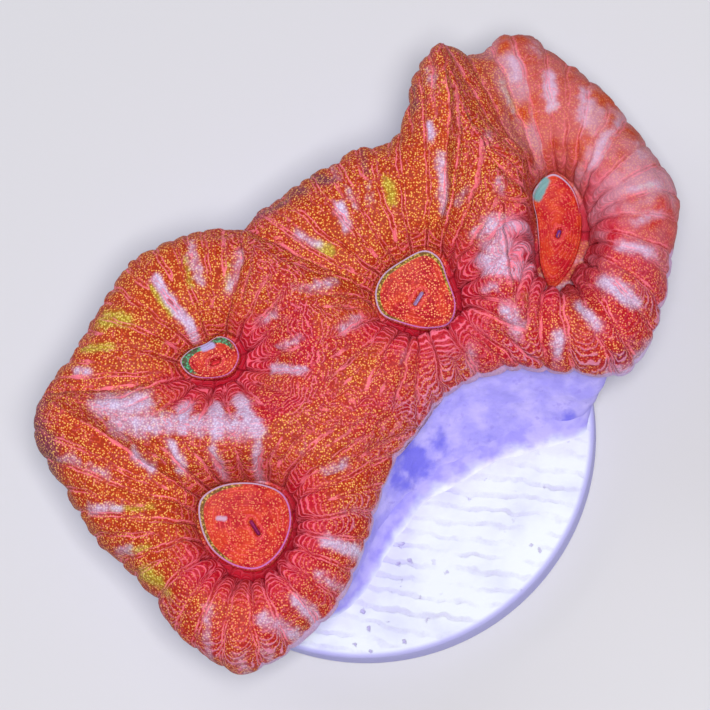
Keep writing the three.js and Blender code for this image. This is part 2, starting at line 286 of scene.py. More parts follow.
# Coral: one colony, living flesh over the limestone skeleton that it grew. First its plan: the outer
# edge and the crests between the polyps, as smooth lines with [x, y, height of the crest] knots, and
# how many ribs cross each. The ribs run from every mouth over the crests and down the outside.
AC_OUTSIDE = (-7.0, 11.9, 12.6)
AB_OUTSIDE = (-20.0, 1.2, 12.6)
BC_OUTSIDE = (4.2, -1.2, 12.6)
CD_LOWER = (12.3, 2.3, 12.9)
CD_UPPER = (6.1, 23.7, 13.2)
TRIPLE = (-2.4, -0.4, 13.8)
ARCS = {
    "a": (15, [
        AC_OUTSIDE, (-8.9, 11.8, 12.9), (-11, 11.4, 13), (-12.9, 10.7, 13), (-14.6, 9.3, 13),
        (-16.3, 7, 13), (-17.3, 4.9, 13), (-18.9, 2.8, 12.8), AB_OUTSIDE,
    ]),
    "b": (21, [
        AB_OUTSIDE, (-20.6, -0.7, 12.5), (-20.3, -2, 12.5), (-18.9, -4, 12.7), (-17.7, -6, 12.9),
        (-16.2, -8.1, 13), (-14.1, -10.2, 13), (-12.2, -12.1, 13), (-11, -14.2, 12.8),
        (-9.1, -15.6, 12.6), (-7, -16.6, 12.5), (-4.8, -15.8, 12.6), (-2.8, -14.2, 12.8),
        (-1.1, -12.7, 13), (0.7, -8.8, 13.1), (1.8, -5.4, 13), (2.8, -3.1, 12.8), BC_OUTSIDE,
    ]),
    "c_lower": (7, [BC_OUTSIDE, (6, 0.8, 12.9), (8, 1.8, 13.1), (10.4, 2.3, 13.1), CD_LOWER]),
    "d": (20, [
        CD_LOWER, (14, 2.2, 12.9), (15.8, 1.9, 12.6), (17.5, 2.2, 12.4), (18.7, 3.9, 12.2),
        (19.7, 6.6, 11.9), (20.5, 10.2, 11.5), (20.9, 13.2, 11.1), (20, 15.7, 10.8), (17.8, 18.8, 10.6),
        (16.2, 21.1, 10.5), (13.5, 23.3, 10.4), (11.4, 25, 10.5), (9.6, 25.1, 10.8), (8.3, 23.5, 11.5),
        (7.2, 23.4, 12.4), CD_UPPER,
    ]),
    "c_upper": (17, [
        CD_UPPER, (5, 23.1, 13.1), (4, 21.2, 13), (3.4, 18.8, 13), (2.3, 17.3, 13), (0.7, 17, 13),
        (-0.7, 16.3, 13), (-3.2, 14.8, 13), (-5.8, 13.1, 12.8), AC_OUTSIDE,
    ]),
    "ab": (8, [
        AB_OUTSIDE, (-17.4, 0.2, 13.5), (-15.2, -0.7, 13.8), (-13, -1.6, 13.9), (-10.4, -2.2, 14),
        (-7.6, -2.4, 14), (-5.2, -2, 13.9), TRIPLE,
    ]),
    "ac": (7, [
        TRIPLE, (-1.7, 2.2, 13.9), (-2, 4.9, 13.9), (-3.4, 7.2, 13.8), (-5.3, 9.3, 13.6), AC_OUTSIDE,
    ]),
    "bc": (5, [BC_OUTSIDE, (2.3, -1, 13.4), (0.6, -1, 13.6), (-1, -0.9, 13.7), TRIPLE]),
    "cd": (11, [
        CD_UPPER, (7, 19.8, 14.4), (8.4, 16.8, 14.7), (9.4, 14.7, 14.7), (9.9, 12.1, 14.7),
        (10.1, 9.3, 14.6), (10.5, 6.3, 14.2), (11.2, 4.1, 13.5), CD_LOWER,
    ]),
}
EDGE_ARCS = ["a", "b", "c_lower", "d", "c_upper"]
POLYPS = {
    "a": (10.7, ["a", "ab", "ac"], [
        (-11, 3.1), (-10.4, 2.2), (-9.2, 1.9), (-7.7, 2.2), (-7.1, 3.3), (-7.5, 4.3), (-8.4, 4.7),
        (-9.4, 4.2), (-10.4, 3.8),
    ]),
    "b": (10.3, ["b", "bc", "-ab"], [
        (-9.7, -5.8), (-9.7, -7.4), (-8.9, -9.1), (-7.4, -10.2), (-5.8, -10.4), (-4.4, -9.3),
        (-3.7, -7.3), (-4.2, -5.6), (-5.9, -4.8), (-8.4, -4.9),
    ]),
    "c": (10.7, ["c_lower", "-cd", "c_upper", "-ac", "-bc"], [
        (1.5, 7.2), (1.9, 5.8), (3.3, 5.1), (5, 4.7), (6.4, 5), (6.8, 6.2), (6.3, 8), (5.7, 9.5),
        (4.8, 10), (3.2, 9.3), (2, 8.4),
    ]),
    "d": (7.4, ["d", "cd"], [
        (11.5, 14.6), (11.7, 12.6), (11.8, 11.2), (12, 9.2), (12.6, 8), (13.8, 9.2), (14.5, 11),
        (14.6, 13), (14, 14.9), (12.8, 15.8),
    ]),
}
ACROSS_RIB = 11
ROLL_WIDTH = 2.9
ROLL_DROP = 3.0
CURL_OUT = 0.65
CURL_DOWN = 1.9
CURL_TURN = math.radians(110)
CURL_ROWS = 12
chance = np.random.default_rng(7)


def along(knots, fractions, closed=False):
    """Points of a smooth curve through knots, at fractions of its length."""
    knots = np.asarray(knots, float)
    if closed:
        knots = np.vstack([knots[-1:], knots, knots[:2]])
    else:
        knots = np.vstack([2 * knots[0] - knots[1], knots, 2 * knots[-1] - knots[-2]])
    t = np.linspace(0, 1, 41)[:-1, None]
    pieces = []
    for p0, p1, p2, p3 in zip(knots, knots[1:], knots[2:], knots[3:]):
        steps = ((p0, p1), (p1, p2), (p2, p3))
        d01, d12, d23 = (max(np.linalg.norm(b - a) ** 0.5, 1e-9) for a, b in steps)
        m1 = (p2 - p1) + d12 * ((p1 - p0) / d01 - (p2 - p0) / (d01 + d12))
        m2 = (p2 - p1) + d12 * ((p3 - p2) / d23 - (p3 - p1) / (d12 + d23))
        pieces.append(
            (2 * t**3 - 3 * t**2 + 1) * p1 + (t**3 - 2 * t**2 + t) * m1
            + (3 * t**2 - 2 * t**3) * p2 + (t**3 - t**2) * m2
        )
    line = np.vstack(pieces + [knots[-2:-1]])
    length = np.append(0, np.cumsum(np.linalg.norm(np.diff(line, axis=0), axis=1)))
    wanted = np.asarray(fractions) * length[-1]
    return np.stack([np.interp(wanted, length, axis) for axis in line.T], axis=1)


def outward(loop):
    """Level directions out of a counter-clockwise loop of points."""
    ahead = np.roll(loop, -1, axis=0) - np.roll(loop, 1, axis=0)
    side = np.stack([ahead[:, 1], -ahead[:, 0]], axis=1)
    return side / np.linalg.norm(side, axis=1, keepdims=True)


def sample_arc(name):
    """An arc's points, its ribs of uneven width each cut into the same number of steps."""
    ribs, knots = ARCS[name]
    marks = np.arange(ribs + 1, dtype=float)
    marks[1:-1] += chance.uniform(-0.24, 0.24, ribs - 1)
    steps = np.interp(np.arange(ribs * ACROSS_RIB + 1) / ACROSS_RIB, np.arange(ribs + 1), marks)
    return along(knots, steps / ribs)


arc_points = {name: sample_arc(name) for name in ARCS}
edge_line = np.vstack([arc_points[name][:-1] for name in EDGE_ARCS])
edge_closed = np.vstack([edge_line, edge_line[:1]])
edge_out = outward(edge_line[:, :2])


def distance_to(line, places, block=2500):
    """Distance in plan from every place to a line of points."""
    start, step = line[:-1, :2], np.diff(line[:, :2], axis=0)
    size = (step**2).sum(axis=1)
    nearest = np.empty(len(places))
    for first in range(0, len(places), block):
        gap = places[first:first + block, None, :2] - start
        share = np.clip((gap * step).sum(axis=2) / size, 0, 1)
        gap = gap - share[:, :, None] * step
        nearest[first:first + block] = np.sqrt((gap**2).sum(axis=2).min(axis=1))
    return nearest


def roll_drop(to_edge):
    """How far the flesh has rolled down where it is this near to the outer edge."""
    past = np.clip(1 - to_edge / ROLL_WIDTH, 0, 1)
    return ROLL_DROP * (1 - np.sqrt(1 - past**2))


FACING = np.array([0.62, -0.78])
TRENCH_LEAST, TRENCH_MORE = 0.1, 0.65
STEEPNESS_LONG, STEEPNESS_SHORT, SHORTEST_WALL = 1.3, 6.5, 1.5
CREST_BLEND = 3


def facing_of(away):
    """How far a side of a polyp, away from its mouth, turns to the lower right: from 0 to 1."""
    return 0.5 + 0.5 * (away / np.linalg.norm(away, axis=1, keepdims=True)) @ FACING


def flesh_height(places, centre, crest, floor, sheer, rim_line, seam_lines):
    """Height of the flesh in plan, from the distances to its mouth disc, its crests and the edge."""
    facing = facing_of(places - centre)
    to_rim = distance_to(rim_line, places)
    to_edge = distance_to(edge_closed[::3], places)
    to_seam = np.min([distance_to(line[::2], places) for line in seam_lines], axis=0)
    to_roll = np.maximum(to_edge - ROLL_WIDTH, 1e-6)
    to_crest = (np.maximum(to_seam, 1e-6) ** -CREST_BLEND + to_roll**-CREST_BLEND) ** (-1 / CREST_BLEND)
    to_wall = np.maximum(to_rim - TRENCH_LEAST - TRENCH_MORE * facing, 0)
    wall = np.maximum(to_wall + to_crest, 1e-6)
    steepness = STEEPNESS_SHORT * (1 - 0.75 * facing) / np.maximum(wall, SHORTEST_WALL)
    steepness = STEEPNESS_LONG + steepness + sheer
    climbed = 1 - (to_crest / wall) ** steepness
    return floor + (crest - floor) * climbed - roll_drop(to_edge), to_seam, to_rim


# The skeleton: a lumpy wall of pale limestone that the coral built up under its flesh. It is bare below
# the curled edge of the flesh and sawn flat at its foot, where the glue takes hold.
SKELETON_INSET = 1.35
SKELETON_ROWS = 26
SKELETON_FOOT = DISC_TOP + 0.1
SKELETON_FLARE = 1.15
FOOT_SIDES = [
    [(-4.5, 12.8), (-9.4, 9.6), (-12.8, 3.6)],
    [
        (-12.8, 3.6), (-13.6, -1.5), (-12.2, -6.5), (-8.6, -10.6), (-4.6, -12.2), (-1.3, -11.3),
        (0.7, -8.0), (2.0, -6.1), (3.6, -4.3),
    ],
    [(3.6, -4.3), (6.3, -2.9), (8.9, -1.5), (11.6, -0.9)],
    [(11.6, -0.9), (14.0, -0.2), (14.1, 3.2), (12.4, 7.6), (7.6, 12.1)],
    [(7.6, 12.1), (1.5, 13.9), (-4.5, 12.8)],
]
LEDGE_BELOW = ROLL_DROP + CURL_DOWN - 0.5


def circular_mean(values, window):
    """A running mean along a closed loop of values."""
    return np.mean([np.roll(values, shift - window // 2, axis=0) for shift in range(window)], axis=0)


wall_top = edge_line[:, :2] - edge_out * SKELETON_INSET
foot = np.vstack([
    along(side, np.arange(ARCS[name][0] * ACROSS_RIB) / (ARCS[name][0] * ACROSS_RIB))
    for side, name in zip(FOOT_SIDES, EDGE_ARCS)
])
foot = circular_mean(circular_mean(foot, 2 * ACROSS_RIB + 1), 2 * ACROSS_RIB + 1)
ledge_height = edge_line[:, 2] - LEDGE_BELOW
skeleton_rings = []
for row in range(SKELETON_ROWS + 1):
    down = row / SKELETON_ROWS
    ring = wall_top + (foot - wall_top) * down**SKELETON_FLARE
    height = ledge_height + (SKELETON_FOOT - ledge_height) * (1 - (1 - down) ** SKELETON_FLARE)
    skeleton_rings.append(np.column_stack([ring, height]))
skeleton_points = np.vstack(skeleton_rings)
lowered = np.repeat(np.linspace(0, 1, SKELETON_ROWS + 1), len(edge_line))
lumps = 0.22 * drift(skeleton_points, 2.6, 1.0) + 0.09 * drift(skeleton_points, 0.8, 4.0)
lumps = lumps + 0.05 * drift(skeleton_points * (1, 1, 0.25), 0.5, 8.0)
lumps = lumps * np.clip(4 * (1 - lowered), 0, 1) * np.clip(4 * lowered, 0, 1)
skeleton_points[:, :2] += np.tile(edge_out, (SKELETON_ROWS + 1, 1)) * lumps[:, None]
wall_rings = skeleton_points.reshape(SKELETON_ROWS + 1, -1, 3)
hollow_z = float(ledge_height.min())
wall_middles = [(0, 2, SKELETON_FOOT), (0, 5, hollow_z)]
skeleton, skeleton_points = stack_piece("bare_skeleton", wall_rings[::-1], wall_middles, "coral")
SHADED_PLACES = [
    (3.4, -2.5, 1.5, 1.0), (2.5, -3.8, 1.0, 0.9), (5.2, -1.4, 1.2, 0.7), (13.5, 0.0, 0.9, 0.85),
    (8.5, -1.2, 0.8, 0.5), (11.4, 0.6, 0.6, 0.4), (-8, -9, 5.0, 0.5), (-12, 6, 6.0, 0.5),
    (4, 14, 6.0, 0.5),
]
shade = np.max([
    strength * np.exp(-(np.hypot(skeleton_points[:, 0] - x, skeleton_points[:, 1] - y) / size) ** 2)
    for x, y, size, strength in SHADED_PLACES
], axis=0)
store(skeleton, "shade", shade)
stone = Finish(skeleton, "bare_coral_limestone", Roughness=0.6, Specular_IOR_Level=0.4)
stone_cloud = stone.clouds(1.6, 5.0).ramp(0.36, 0.66)
stone_fleck = stone.clouds(0.5).ramp(0.58, 0.7)
shade = (stone.attribute("shade") + (stone.clouds(0.9, 4.0) - 0.5) * 1.1).ramp(0.35, 0.85)
# Painted shade: the pale limestone is painted violet-blue, as it looks in shadow under blue light, and
# darker still in the shaded patches.
stone.paint(stone_cloud.blend((0.37, 0.33, 0.88), (0.52, 0.46, 0.94)), [
    (stone_fleck * 0.35, (0.25, 0.2, 0.72)),
    (shade * 0.85, (0.14, 0.13, 0.78)),
])
stone.bump(stone.clouds(0.4, 4.0) * 0.6 + stone.cells(0.55) * 0.4, 0.1)

# Glue: clear-white gel glue that holds the cut foot of the coral on the disc. What squeezed out round
# the foot was smoothed into a hollow fillet that thins out to nothing over the disc.
GLUE_SPREAD = 0.7
GLUE_CLIMB_ROW = SKELETON_ROWS - 6
GLUE_LIMIT = DISC_RADIUS - DISC_ROUNDING - 0.1
GLUE_ROWS = 12
GLUE_HOLLOW = 1.6
GLUE_BASE = DISC_TOP - 0.02
foot_out = outward(foot)
foot_turn = np.column_stack([foot, np.zeros(len(foot))])
glue_wave = GLUE_SPREAD * (1.05 + 0.4 * drift(foot_turn, 2.6, 5.0) + 0.2 * drift(foot_turn, 0.9, 9.0))
glue_edge = foot + foot_out * glue_wave[:, None]
glue_edge *= np.minimum(1, GLUE_LIMIT / np.linalg.norm(glue_edge, axis=1, keepdims=True))
glue_edge = np.column_stack([glue_edge, np.full(len(foot), GLUE_BASE)])
glue_start = wall_rings[GLUE_CLIMB_ROW] - np.column_stack([foot_out * 0.06, np.zeros(len(foot))])
spread = np.linspace(1, 0, GLUE_ROWS)
glue_rings = glue_edge + (glue_start - glue_edge) * (1 - spread)[:, None, None]
glue_rings[:, :, 2] = GLUE_BASE + (glue_start[:, 2] - DISC_TOP) * ((1 - spread) ** GLUE_HOLLOW)[:, None]
glue_middles = [(0, 2, GLUE_BASE), (0, 2, DISC_TOP + 0.4)]
glue = stack_piece("glue_pad", glue_rings, glue_middles, "glue")[0]
store(glue, "spread", np.append(np.repeat(spread, len(foot)), [1, 0]))
from_glue = np.linalg.norm(disc_points[:, None, :2] - foot[::4], axis=2).min(axis=1)
store(disc, "near_glue", np.exp(-((from_glue / 2.2) ** 2)))
gel = Finish(glue, "cured_gel_glue", Roughness=0.4, Specular_IOR_Level=0.4)
gel_thin = (gel.attribute("spread") + (gel.clouds(1.5, 4.0) - 0.5) * 1.1).ramp(0.5, 1.05)
# Painted shade: the clear-white glue is painted violet-blue near the foot and fades to pale where it
# thins out over the disc.
shaded_gel_colour = gel.clouds(1.0, 4.0).ramp(0.35, 0.65).blend((0.34, 0.3, 0.87), (0.48, 0.43, 0.91))
gel.paint(shaded_gel_colour, [(gel_thin, (0.64, 0.68, 0.84))])
gel.bump(gel.clouds(0.7), 0.05)

# The flesh: a thick soft skin that swells into ribs between sunken grooves. It covers the skeleton from
# the mouths over the crests, rolls over the outer edge and curls in under it. Towards a mouth the ribs
# run together and end as round fingers, finely wrinkled across, over a sunken ring.
ROWS = 50
TRIAL_ROWS = 90
ROW_CROWDING = 0.5
FOLD_POWER = 3.2
LOST_AT_SEAM = {"ab": 0.75, "ac": 0.75, "bc": 0.75, "cd": 0.3}
EDGE_SWELL = 0.07
FINGER_SWELL = 0.5
SWELL_LIMIT = 0.62
FINGER_ROUND = 0.5
TRENCH_DEPTH = 0.32
LOBE_SWELL = 0.14
SPREAD_AT_RIM = 0.5
SHEER_WALL = 6.0
BLEND_ROWS = 8
HIDDEN_DEPTH = 1.5
FAR_OFF = 9.0
CREST_FACING = 0.45
WRINKLED_SEAMS = {"ab": 0.35, "ac": 0.8, "bc": 0.6, "cd": 0.5}


def flesh_cell(floor, arcs, rim, sheer_arc):
    """The flesh of one polyp as columns of points from its crests and edge in to its mouth disc."""
    rim_line = along(rim, np.arange(241) / 240, closed=True)
    centre = rim_line[:-1].mean(axis=0)
    loop, names = [], []
    for arc in arcs:
        order = slice(None, None, -1) if arc.startswith("-") else slice(None)
        loop.append(arc_points[arc.lstrip("-")][order][:-1])
        names += [arc.lstrip("-")] * len(loop[-1])
    loop, names = np.vstack(loop), np.array(names)
    ribs = len(loop) // ACROSS_RIB
    offset = loop[:, :2] - centre
    angles = np.unwrap(np.arctan2(offset[:, 1], offset[:, 0]))
    even = np.arange(len(loop)) * 2 * math.pi / len(loop)
    rim_angles = angles + SPREAD_AT_RIM * (even + (angles - even).mean() - angles)
    inward = np.linspace(0, 1, TRIAL_ROWS + 1)
    turned = angles[:, None] + (rim_angles - angles)[:, None] * inward
    rim_offset = rim_line - centre
    rim_turn = np.unwrap(np.arctan2(rim_offset[:, 1], rim_offset[:, 0]))
    wrapped = (turned - rim_turn[0]) % (2 * math.pi) + rim_turn[0]
    rim_reach = np.interp(wrapped, rim_turn, np.hypot(*rim_offset.T))
    reach = np.hypot(*offset.T)[:, None] * (1 - inward) + rim_reach * inward
    trial = centre + np.stack([np.cos(turned), np.sin(turned)], axis=2) * reach[:, :, None]
    sheer = SHEER_WALL * circular_mean((names == sheer_arc).astype(float), 3 * ACROSS_RIB)
    seams = [arc_points[name] for name in dict.fromkeys(names) if name not in EDGE_ARCS]
    height, to_seam, to_rim = flesh_height(
        trial.reshape(-1, 2), centre, loop[:, 2].repeat(TRIAL_ROWS + 1), floor,
        sheer.repeat(TRIAL_ROWS + 1), rim_line, seams,
    )
    trial = np.dstack([trial, *(values.reshape(turned.shape) for values in (height, to_seam, to_rim))])
    steps = np.linalg.norm(np.diff(trial[:, :, :3], axis=1), axis=2)
    length = np.hstack([np.zeros((len(loop), 1)), np.cumsum(steps, axis=1)])
    share = np.linspace(0, 1, ROWS + 1)
    share = (1 + ROW_CROWDING) * share - ROW_CROWDING * share**2
    columns = np.array([
        [np.interp(share * far[-1], far, axis) for axis in line.T]
        for far, line in zip(length, trial)
    ]).transpose(0, 2, 1)
    places = columns[:, :, :3]
    down = np.gradient(places, axis=1)
    down /= np.linalg.norm(down, axis=2, keepdims=True)
    width = np.linalg.norm(np.cross(np.roll(places, -1, axis=0) - places, down), axis=2) * ACROSS_RIB
    width = circular_mean(circular_mean(width, ACROSS_RIB), ACROSS_RIB)
    phase = (np.arange(len(loop)) % ACROSS_RIB) / ACROSS_RIB
    rib = np.arange(len(loop)) // ACROSS_RIB
    fade_width = np.where(np.arange(ribs) % 2 == 1, 0.75, np.where(np.arange(ribs) % 4 == 2, 0.36, 0.0))
    fade_width *= chance.uniform(0.8, 1.2, ribs)
    strength = np.clip((width[::ACROSS_RIB] - fade_width[:, None]) / 0.2, 0, 1)
    merged = 3 - strength - np.roll(strength, -1, axis=0)
    return {
        "places": places,
        "floor": floor,
        "centre": centre,
        "rim_line": rim_line,
        "run": length[:, -1:] * (1 - share),
        "climb": np.broadcast_to(1 - share, width.shape),
        "to_seam": columns[:, :, 3],
        "to_rim": columns[:, :, 4],
        "width": width,
        "merged": circular_mean(merged[rib], ACROSS_RIB) * width,
        "side": np.broadcast_to(np.abs(2 * phase - 1)[:, None], width.shape),
        "groove": strength[np.where(phase < 0.5, rib, (rib + 1) % ribs)],
        "rib": chance.random(ribs)[rib][:, None] * np.ones(ROWS + 1),
    }


cells = {
    key: flesh_cell(floor, arcs, rim, "cd" if key == "d" else None)
    for key, (floor, arcs, rim) in POLYPS.items()
}
FACTS = (
    "side", "run", "climb", "width", "merged", "groove", "rib", "to_seam", "to_rim", "ease", "finger",
    "facing", "trench",
)


class Skin:
    """A growing mesh that also keeps, for each point, what its ribs and its finish depend on."""

    def __init__(self):
        self.points, self.faces, self.count = [], [], 0
        self.facts = {name: [] for name in FACTS}

    def add(self, points, facts):
        self.points.append(points)
        for name in FACTS:
            values = np.asarray(facts.get(name, 0.0), float)
            self.facts[name].append(np.broadcast_to(values, len(points)))
        self.count += len(points)
        return np.arange(self.count - len(points), self.count)


flesh = Skin()
arc_ids, corner_ids = {}, {}
all_seams = [arc_points[name] for name in ARCS if name not in EDGE_ARCS]
for name, points in arc_points.items():
    rolled = points.copy()
    rolled[:, 2] -= roll_drop(distance_to(edge_closed, points))
    to_seam = np.min([distance_to(line, points) for line in all_seams], axis=0)
    side = np.abs(2 * (np.arange(len(points)) % ACROSS_RIB) / ACROSS_RIB - 1)
    ends = [tuple(np.round(points[end][:2], 4)) for end in (0, -1)]
    for corner, place in zip(ends, rolled[[0, -1]]):
        if corner not in corner_ids:
            corner_ids[corner] = flesh.add(place[None], {"side": 1.0, "climb": 1.0, "groove": 1.0})
    facts = {"side": side[1:-1], "climb": 1.0, "groove": 1.0, "to_seam": to_seam[1:-1]}
    inner = flesh.add(rolled[1:-1], facts)
    arc_ids[name] = np.concatenate([corner_ids[ends[0]], inner, corner_ids[ends[1]]])

shared = {name: np.zeros(flesh.count) for name in ("width", "merged", "run", "rib")}
shared["width"][:] = shared["merged"][:] = np.inf
for key, cell in cells.items():
    ids = [arc_ids[arc.lstrip("-")][::-1 if arc.startswith("-") else 1][:-1] for arc in POLYPS[key][1]]
    cell["ids"] = ids = np.concatenate(ids)
    for name in ("width", "merged"):
        shared[name][ids] = np.minimum(shared[name][ids], cell[name][:, 0])
    shared["run"][ids] = np.maximum(shared["run"][ids], cell["run"][:, 0])
    shared["rib"][ids] = cell["rib"][:, 0]
for cell in cells.values():
    ids, centre, floor = cell["ids"], cell["centre"], cell["floor"]
    previous = ids
    for row in range(1, ROWS + 1):
        places = cell["places"][:, row].copy()
        facts = {name: cell[name][:, row] for name in FACTS if name in cell}
        joined = smooth_step(np.array(row), 0, BLEND_ROWS)
        for name in ("width", "merged"):
            facts[name] = shared[name][ids] + (facts[name] - shared[name][ids]) * joined
        to_rim = facts["to_rim"]
        facing = facts["facing"] = facing_of(places[:, :2] - centre)
        trench = TRENCH_LEAST + TRENCH_MORE * facing
        facts["ease"] = np.sqrt(1 - np.clip(1 - (to_rim - 0.9 * trench) / FINGER_ROUND, 0, 1) ** 2)
        facts["trench"] = np.exp(-((to_rim / (trench + 0.1)) ** 6)) * np.clip(1.7 * facing - 0.25, 0, 1)
        facts["finger"] = np.exp(-((to_rim / 1.8) ** 2)) * (0.35 + 0.65 * facing)
        places[:, 2] -= TRENCH_DEPTH * np.exp(-((to_rim / trench) ** 4)) * (0.35 + 0.65 * facing)
        ring = flesh.add(places, facts)
        flesh.faces += ring_band(previous, ring)
        previous = ring
    under = cell["places"][:, -1] * 0.5 + np.append(centre, floor) * 0.5 - (0, 0, HIDDEN_DEPTH)
    under_ids = flesh.add(under, {})
    flesh.faces += ring_band(previous, under_ids)
    middle_id = flesh.add(np.array([[*centre, floor - HIDDEN_DEPTH]]), {})[0]
    flesh.faces += ring_fan(under_ids, middle_id)

edge_ids = np.concatenate([arc_ids[name][:-1] for name in EDGE_ARCS])
edge_side = np.abs(2 * (np.arange(len(edge_ids)) % ACROSS_RIB) / ACROSS_RIB - 1)
previous = edge_ids
for row in range(1, CURL_ROWS + 1):
    turn = CURL_TURN * row / CURL_ROWS
    drawn_in = edge_out * CURL_OUT * (1 - math.cos(turn))
    ring = edge_line - np.column_stack([drawn_in, np.zeros(len(edge_line))])
    ring[:, 2] -= ROLL_DROP + CURL_DOWN * math.sin(turn)
    curl_facts = {name: shared[name][edge_ids] for name in shared}
    curl_facts["run"] = curl_facts["run"] + 1.5 * turn
    curl_facts |= {"to_rim": FAR_OFF, "to_seam": FAR_OFF, "ease": 1 - 0.85 * row / CURL_ROWS}
    curl_facts |= {"side": edge_side, "climb": 1 + 0.3 * turn, "groove": 1.0}
    ring_ids = flesh.add(ring, curl_facts)
    flesh.faces += ring_band(ring_ids, previous)
    previous = ring_ids
hidden = np.column_stack([edge_line[:, :2] - edge_out * (SKELETON_INSET + 0.6), ledge_height + 0.5])
hidden_ids = flesh.add(hidden, {})
flesh.faces += ring_band(hidden_ids, previous)
flesh.faces += ring_fan(hidden_ids[::-1], flesh.add(np.array([[0, 5, hollow_z + 0.8]]), {})[0])

points = np.vstack(flesh.points)
facts = {name: np.concatenate(values) for name, values in flesh.facts.items()}
on_arc = slice(0, len(shared["run"]))
for name in shared:
    facts[name][on_arc] = shared[name]
facts["facing"][on_arc] = CREST_FACING
facts["ease"][on_arc] = 1.0
facts["to_rim"][on_arc] = FAR_OFF


def point_normals(points, faces):
    """Normals of a mesh of quads and triangles, before it is made."""
    corners = np.array([face if len(face) == 4 else (*face, face[2]) for face in faces])
    first, second, third, fourth = points[corners.T]
    cross = np.cross(third - first, fourth - second)
    normals = np.zeros_like(points)
    for column in corners.T:
        np.add.at(normals, column, cross)
    return normals / np.maximum(np.linalg.norm(normals, axis=1, keepdims=True), 1e-12)


rest = points.copy()
sway = facts["ease"] * (facts["climb"] <= 1.0) * smooth_step(facts["to_rim"], 0.3, 1.2)
for axis, seed in ((0, 11.0), (1, 17.0)):
    points[:, axis] += sway * (0.2 * drift(rest, 1.5, seed) + 0.1 * drift(rest, 0.6, seed + 3))
normals = point_normals(points, flesh.faces)
from_seam = {name: distance_to(arc_points[name], rest) for name in LOST_AT_SEAM}
for name, lost in LOST_AT_SEAM.items():
    facts["groove"] *= 1 - lost * np.exp(-((from_seam[name] / 1.4) ** 2))
on_wall = np.exp(-((from_seam["cd"] / 2.2) ** 2)) * smooth_step(18 - rest[:, 1], 0, 3)
fold = 1 - facts["groove"] * facts["side"] ** FOLD_POWER
smooth_side = smooth_step(rest[:, 0] - 0.35 * (22 - rest[:, 1]), 7.0, 11.0)
smooth_side = smooth_side * smooth_step(rest[:, 1], 5.0, 12.0)
swell = EDGE_SWELL * (1 - 0.4 * smooth_side) + (FINGER_SWELL - EDGE_SWELL) * facts["finger"]
swell = swell + LOBE_SWELL * on_wall
lift = np.minimum(swell * facts["merged"], SWELL_LIMIT) * fold
near_groove = facts["groove"] * np.exp(-(((1 - facts["side"]) * facts["width"] / 2 / 0.2) ** 2))
lift = lift - 0.06 * near_groove
lift = lift + 0.15 * drift(rest, 3.2, 2.0) + 0.07 * drift(rest, 1.1, 6.0)
off_crest = from_seam["cd"] + 0.35 * drift(rest, 1.5, 4.0) + 0.12 * drift(rest, 0.6, 8.0)
crest_line = np.exp(-((off_crest / 0.18) ** 2))
crest_line = crest_line * smooth_step(rest[:, 1], 4, 6) * smooth_step(14 - rest[:, 1], 0, 3)
lift = lift - 0.12 * crest_line
points = points + normals * (lift * facts["ease"])[:, None]
flesh_piece = mesh_piece("coral_flesh", points, flesh.faces, "coral")

